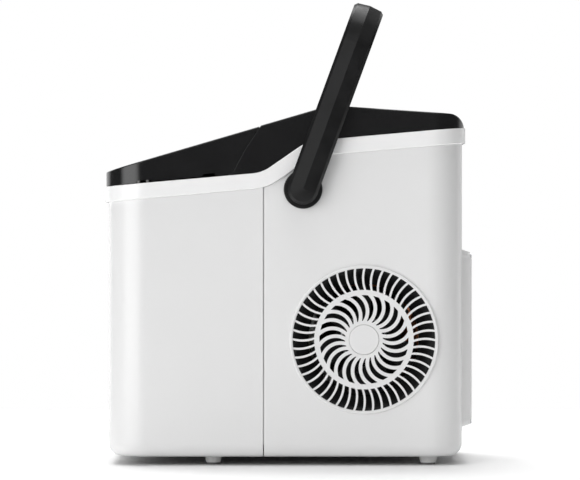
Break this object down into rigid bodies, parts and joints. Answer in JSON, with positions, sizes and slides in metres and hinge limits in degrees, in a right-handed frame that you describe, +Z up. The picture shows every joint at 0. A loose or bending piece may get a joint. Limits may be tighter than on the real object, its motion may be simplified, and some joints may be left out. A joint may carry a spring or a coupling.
{
  "type": "countertop ice maker",
  "caption": "Compact countertop ice maker with sloping hinged lid, swinging carry handle, round side grille, rear vent panel, ice basket and a tilting water tray.",
  "frame": {"origin": "on the floor under the middle of the whole machine", "axes": "+X right when facing the front, +Y to the back, +Z up"},
  "size_m": [0.2372, 0.2924, 0.3667],
  "materials": {
    "white_shell": "gloss moulded ABS",
    "white_trim": "gloss moulded ABS",
    "black_gloss": "gloss moulded ABS",
    "black_satin": "satin moulded ABS",
    "smoked_window": "smoked clear polycarbonate",
    "panel_gloss": "polished overlay",
    "grey_button": "fine texture",
    "lens": "clear diffuser",
    "grey_base": "moulded PP",
    "foot_plastic": "moulded ABS",
    "pad_rubber": "soft rubber",
    "liner_plastic": "moulded polypropylene",
    "foam": "polyurethane foam",
    "basket_plastic": "translucent polypropylene",
    "scoop_plastic": "clear blue styrene",
    "steel": "zinc plated",
    "nickel": "nickel plated copper",
    "copper": "drawn copper tube",
    "aluminium_fins": "rolled fin stock",
    "black_paint": "black enamel",
    "black_rubber": "moulded rubber",
    "board": "solder mask",
    "grey_plastic": "moulded PP",
    "silicone": "silicone tube"
  },
  "bodies": {
    "cabinet": {"front_housing": "white_shell", "rear_housing": "white_shell", "base_pan": "grey_base", "base_screws": "steel", "front_feet": "foot_plastic", "rear_feet": "foot_plastic", "foot_pads": "pad_rubber", "trim_band": "white_trim", "top_cover": "black_gloss", "lid_hinge_pins": "steel", "control_panel": "panel_gloss", "indicator_lenses": "lens", "control_board": "board", "handle_pivot_discs": "black_satin", "side_grille": "white_shell", "grille_centre_cap": "white_shell", "rear_vent_panel": "white_shell", "rear_panel_screws": "steel", "tub": "liner_plastic", "tub_insulation": "foam", "evaporator_bridge": "grey_plastic", "tray_motor": "grey_plastic", "evaporator": "nickel", "evaporator_pipes": "nickel", "ice_full_sensors": "black_satin", "water_level_sensor": "grey_plastic", "compressor": "black_paint", "compressor_grommets": "black_rubber", "compressor_terminal_cover": "grey_plastic", "condenser_fins": "aluminium_fins", "condenser_tube": "copper", "suction_tube": "copper", "discharge_tube": "copper", "filter_drier": "copper", "liquid_tube": "copper", "capillary_tube": "copper", "hot_gas_valve": "steel", "hot_gas_tubes": "copper", "fan_motor": "steel", "fan_shroud": "black_satin", "pump_body": "grey_plastic", "fill_hose": "silicone", "drain_tube": "silicone", "power_board": "board", "mains_cord_gland": "black_rubber"},
    "lid": {"lid_frame": "black_gloss", "lid_window": "smoked_window", "lid_bumpers": "pad_rubber"},
    "handle": {"carry_handle": "black_satin", "handle_pivot_pins": "black_satin", "handle_retainers": "steel"},
    "fan": {"fan_rotor": "black_satin"},
    "impeller": {"pump_impeller": "grey_plastic"},
    "tray": {"water_tray": "grey_plastic"},
    "basket": {"ice_basket": "basket_plastic"},
    "scoop": {"ice_scoop": "scoop_plastic"},
    "drain": {"drain_plug": "grey_plastic", "drain_seal": "black_rubber"},
    "power_key": {"power_button": "grey_button"},
    "select_key": {"select_button": "grey_button"}
  },
  "joints": [
    {"name": "lid_hinge", "type": "hinge", "parent": "cabinet", "child": "lid", "pos_m": [0, -0.0143, 0.26509], "axis": [-1, 0, 0], "range_deg": [0, 80]},
    {"name": "handle_swing", "type": "hinge", "parent": "cabinet", "child": "handle", "pos_m": [0, 0.0113, 0.2185], "axis": [-1, 0, 0], "range_deg": [-25, 70]},
    {"name": "fan_spin", "type": "hinge", "parent": "cabinet", "child": "fan", "pos_m": [0.08, 0.0594, 0.0998], "axis": [1, 0, 0], "continuous": true},
    {"name": "impeller_spin", "type": "hinge", "parent": "cabinet", "child": "impeller", "pos_m": [0.05, 0.032, 0.025], "axis": [0, 0, 1], "continuous": true},
    {"name": "tray_tilt", "type": "hinge", "parent": "cabinet", "child": "tray", "pos_m": [0, -0.026, 0.196], "axis": [1, 0, 0], "range_deg": [0, 80]},
    {"name": "basket_lift", "type": "slide", "parent": "cabinet", "child": "basket", "axis": [0, 0, 1], "range_m": [0, 0.02]},
    {"name": "scoop_lift", "type": "slide", "parent": "basket", "child": "scoop", "axis": [0, 0, 1], "range_m": [0, 0.04]},
    {"name": "drain_pull", "type": "slide", "parent": "cabinet", "child": "drain", "axis": [-1, 0, 0], "range_m": [0, 0.02]},
    {"name": "power_press", "type": "slide", "parent": "cabinet", "child": "power_key", "axis": [0, 0.2812, -0.9597], "range_m": [0, 0.0012], "stiffness_N_per_m": 400, "springref_m": -0.001},
    {"name": "select_press", "type": "slide", "parent": "cabinet", "child": "select_key", "axis": [0, 0.2812, -0.9597], "range_m": [0, 0.0012], "stiffness_N_per_m": 400, "springref_m": -0.001}
  ]
}
